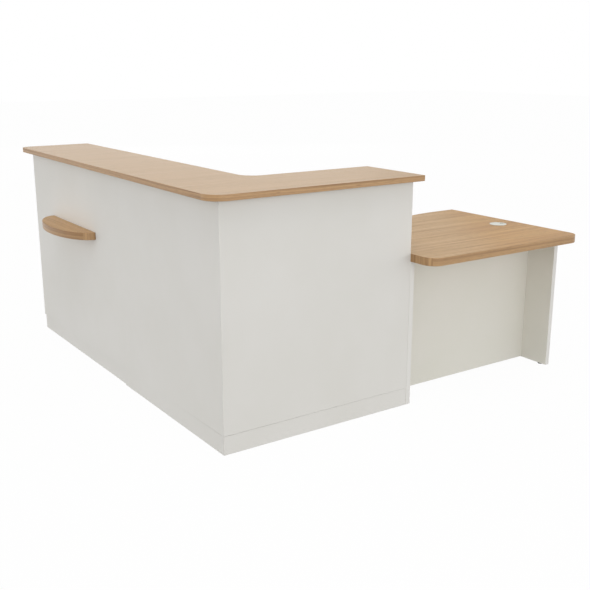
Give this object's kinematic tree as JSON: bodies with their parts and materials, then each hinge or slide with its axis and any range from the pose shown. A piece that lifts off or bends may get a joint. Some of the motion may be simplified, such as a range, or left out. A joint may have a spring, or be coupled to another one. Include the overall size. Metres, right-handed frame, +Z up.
{
  "type": "reception desk",
  "caption": "L-shaped reception desk: a high oak-topped counter with white fronts and a bag shelf, joined to a low desk with a leg panel, modesty panel and cable port.",
  "frame": {"origin": "middle of the footprint's bounding box, on the floor", "axes": "+Z up; +Y along the long wing, away from the near corner; +X along the short wing towards the low desk"},
  "size_m": [2.1508, 2.398, 1.1],
  "materials": {
    "oak_board": "oak-effect melamine on chipboard, satin, with matching edge band",
    "white_board": "warm white melamine on chipboard, fine matt texture",
    "softwood": "planed softwood, unfinished",
    "zinc_steel": "bright zinc-plated steel",
    "black_plastic": "moulded black polyamide",
    "white_plastic": "moulded white ABS, fine texture"
  },
  "bodies": {
    "desk": {"counter_top": "oak_board", "corner_worktop": "oak_board", "straight_worktop": "oak_board", "bag_shelf": "oak_board", "desk_top": "oak_board", "corner_front_panel_left": "white_board", "corner_front_panel_right": "white_board", "straight_front_panel": "white_board", "corner_plinth_left": "white_board", "corner_plinth_right": "white_board", "straight_plinth": "white_board", "corner_gable_left": "white_board", "corner_gable_right": "white_board", "straight_gable_inner": "white_board", "straight_gable_outer": "white_board", "corner_upright_left": "white_board", "corner_upright_right": "white_board", "straight_upright_inner": "white_board", "straight_upright_outer": "white_board", "desk_side_panel": "white_board", "desk_leg": "white_board", "desk_modesty_panel": "white_board", "corner_plinth_block": "softwood", "corner_post_lower": "softwood", "corner_post_upper": "softwood", "worktop_batten_left": "softwood", "worktop_batten_right": "softwood", "worktop_batten_straight": "softwood", "counter_batten_left": "softwood", "counter_batten_right": "softwood", "counter_batten_straight": "softwood", "unit_link_front_sleeve": "zinc_steel", "unit_link_front_screw": "zinc_steel", "unit_link_rear_sleeve": "zinc_steel", "unit_link_rear_screw": "zinc_steel", "unit_link_upper_sleeve": "zinc_steel", "unit_link_upper_screw": "zinc_steel", "desk_link_front_sleeve": "zinc_steel", "desk_link_front_screw": "zinc_steel", "desk_link_rear_sleeve": "zinc_steel", "desk_link_rear_screw": "zinc_steel", "shelf_rod_near": "zinc_steel", "shelf_rod_far": "zinc_steel", "foot_insert_front": "zinc_steel", "foot_insert_rear": "zinc_steel", "desk_bracket_side_front": "zinc_steel", "desk_bracket_side_rear": "zinc_steel", "desk_bracket_leg_front": "zinc_steel", "desk_bracket_leg_rear": "zinc_steel", "desk_bracket_modesty_left": "zinc_steel", "desk_bracket_modesty_right": "zinc_steel", "desk_bracket_side_middle": "zinc_steel", "desk_bracket_leg_middle": "zinc_steel", "port_liner": "white_plastic"},
    "foot_front": {"desk_foot_front": "black_plastic"},
    "foot_rear": {"desk_foot_rear": "black_plastic"},
    "port_lid": {"port_cap": "white_plastic", "port_rivet": "white_plastic"},
    "port_shutter": {"port_shutter": "white_plastic"}
  },
  "joints": [
    {"name": "foot_front_wind", "type": "slide", "parent": "desk", "child": "foot_front", "axis": [0, 0, -1], "range_m": [0, 0.012]},
    {"name": "foot_rear_wind", "type": "slide", "parent": "desk", "child": "foot_rear", "axis": [0, 0, -1], "range_m": [0, 0.012]},
    {"name": "port_lid_lift", "type": "slide", "parent": "desk", "child": "port_lid", "axis": [0, 0, 1], "range_m": [0, 0.03]},
    {"name": "port_shutter_turn", "type": "hinge", "parent": "port_lid", "child": "port_shutter", "pos_m": [0.94315, -0.762, 0.736], "axis": [0, 0, 1], "range_deg": [-90, 0]}
  ]
}
